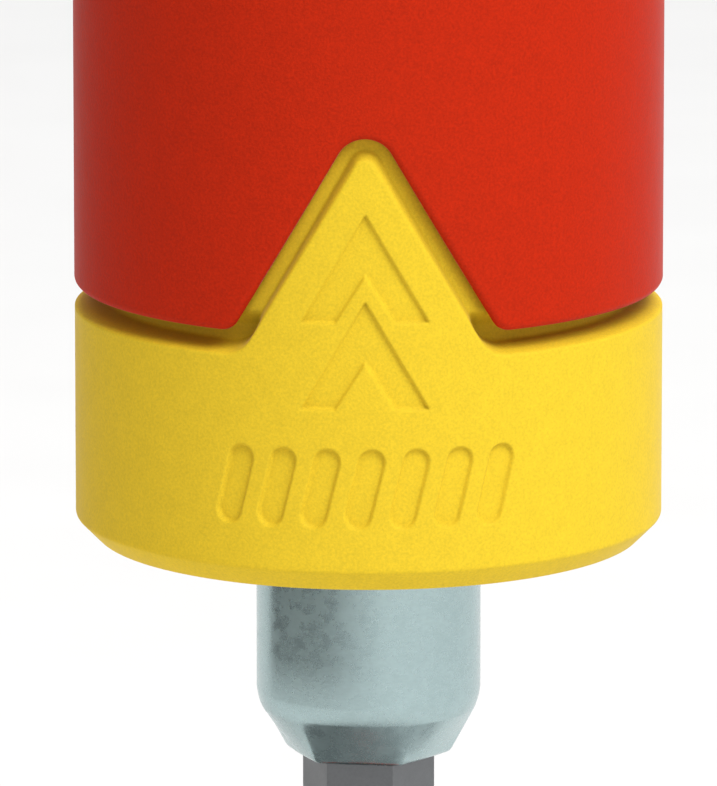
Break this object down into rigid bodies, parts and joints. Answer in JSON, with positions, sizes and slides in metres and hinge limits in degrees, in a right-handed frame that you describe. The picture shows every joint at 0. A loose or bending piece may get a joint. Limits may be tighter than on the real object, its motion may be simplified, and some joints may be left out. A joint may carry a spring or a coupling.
{
  "type": "insulated screwdriver",
  "caption": "Insulated torque screwdriver: red and yellow two-part handle, round steel spindle with a tapered nose, adjusting knob and an exchangeable insulated flat bit.",
  "frame": {"origin": "centre of the end of the bit's blade, on the tool's axis", "axes": "+Z along the tool's axis from the blade to the knob; the scale window and one raised peak face -Y"},
  "size_m": [0.0352, 0.0356, 0.1846],
  "materials": {
    "red_shell": "matt, fine spark-eroded grain",
    "yellow_body": "matt, fine spark-eroded grain",
    "clear_lens": "clear, polished",
    "bronze": "turned, oiled",
    "seal_rubber": "matt",
    "steel_bright": "bright, ground",
    "steel_satin": "satin, turned",
    "steel_spring": "dark, drawn wire",
    "spindle_steel": "satin nickel, cool grey",
    "magnet_nickel": "nickel plated",
    "pointer_red": "gloss",
    "bit_steel": "fine blasted, darker at the blade",
    "red_sleeve": "semi gloss"
  },
  "bodies": {
    "handle": {"handle_shell": "red_shell", "nose_collar": "yellow_body", "handle_core": "yellow_body", "scale_window": "clear_lens", "front_bush": "bronze", "front_seal": "seal_rubber", "thrust_washer": "steel_bright", "mechanism_tube": "steel_satin", "tube_pins": "steel_bright", "pressure_plate": "steel_satin", "rear_bush": "bronze", "rear_circlip": "steel_spring", "slip_ring": "yellow_body"},
    "spindle": {"spindle": "spindle_steel", "bit_magnet": "magnet_nickel", "bit_clip": "steel_spring", "clutch_lining": "bronze"},
    "bit": {"bit_core": "bit_steel", "bit_inner_sleeve": "yellow_body", "bit_outer_sleeve": "red_sleeve"},
    "nut": {"spring_nut": "bronze", "spring_washer": "steel_bright", "clutch_spring": "steel_spring", "scale_pointer": "pointer_red", "pointer_screw": "steel_bright"},
    "knob": {"knob": "red_shell", "knob_screw": "steel_bright", "knob_cap": "yellow_body", "adjusting_screw": "steel_bright", "screw_washer": "bronze"}
  },
  "joints": [
    {"name": "spindle_spin", "type": "hinge", "parent": "handle", "child": "spindle", "pos_m": [0, 0, 0.0755], "axis": [0, 0, 1], "continuous": true},
    {"name": "bit_pull", "type": "slide", "parent": "spindle", "child": "bit", "axis": [0, 0, -1], "range_m": [0, 0.0135]},
    {"name": "knob_turn", "type": "hinge", "parent": "handle", "child": "knob", "pos_m": [0, 0, 0.1555], "axis": [0, 0, 1], "range_deg": [0, 1805]},
    {"name": "nut_travel", "type": "slide", "parent": "handle", "child": "nut", "axis": [0, 0, -1], "range_m": [0, 0.0075], "deforming": ["clutch_spring"]}
  ],
  "couplings": [
    {"joint": "knob_turn", "follows": "nut_travel", "rad_per_m": 4188.8}
  ]
}
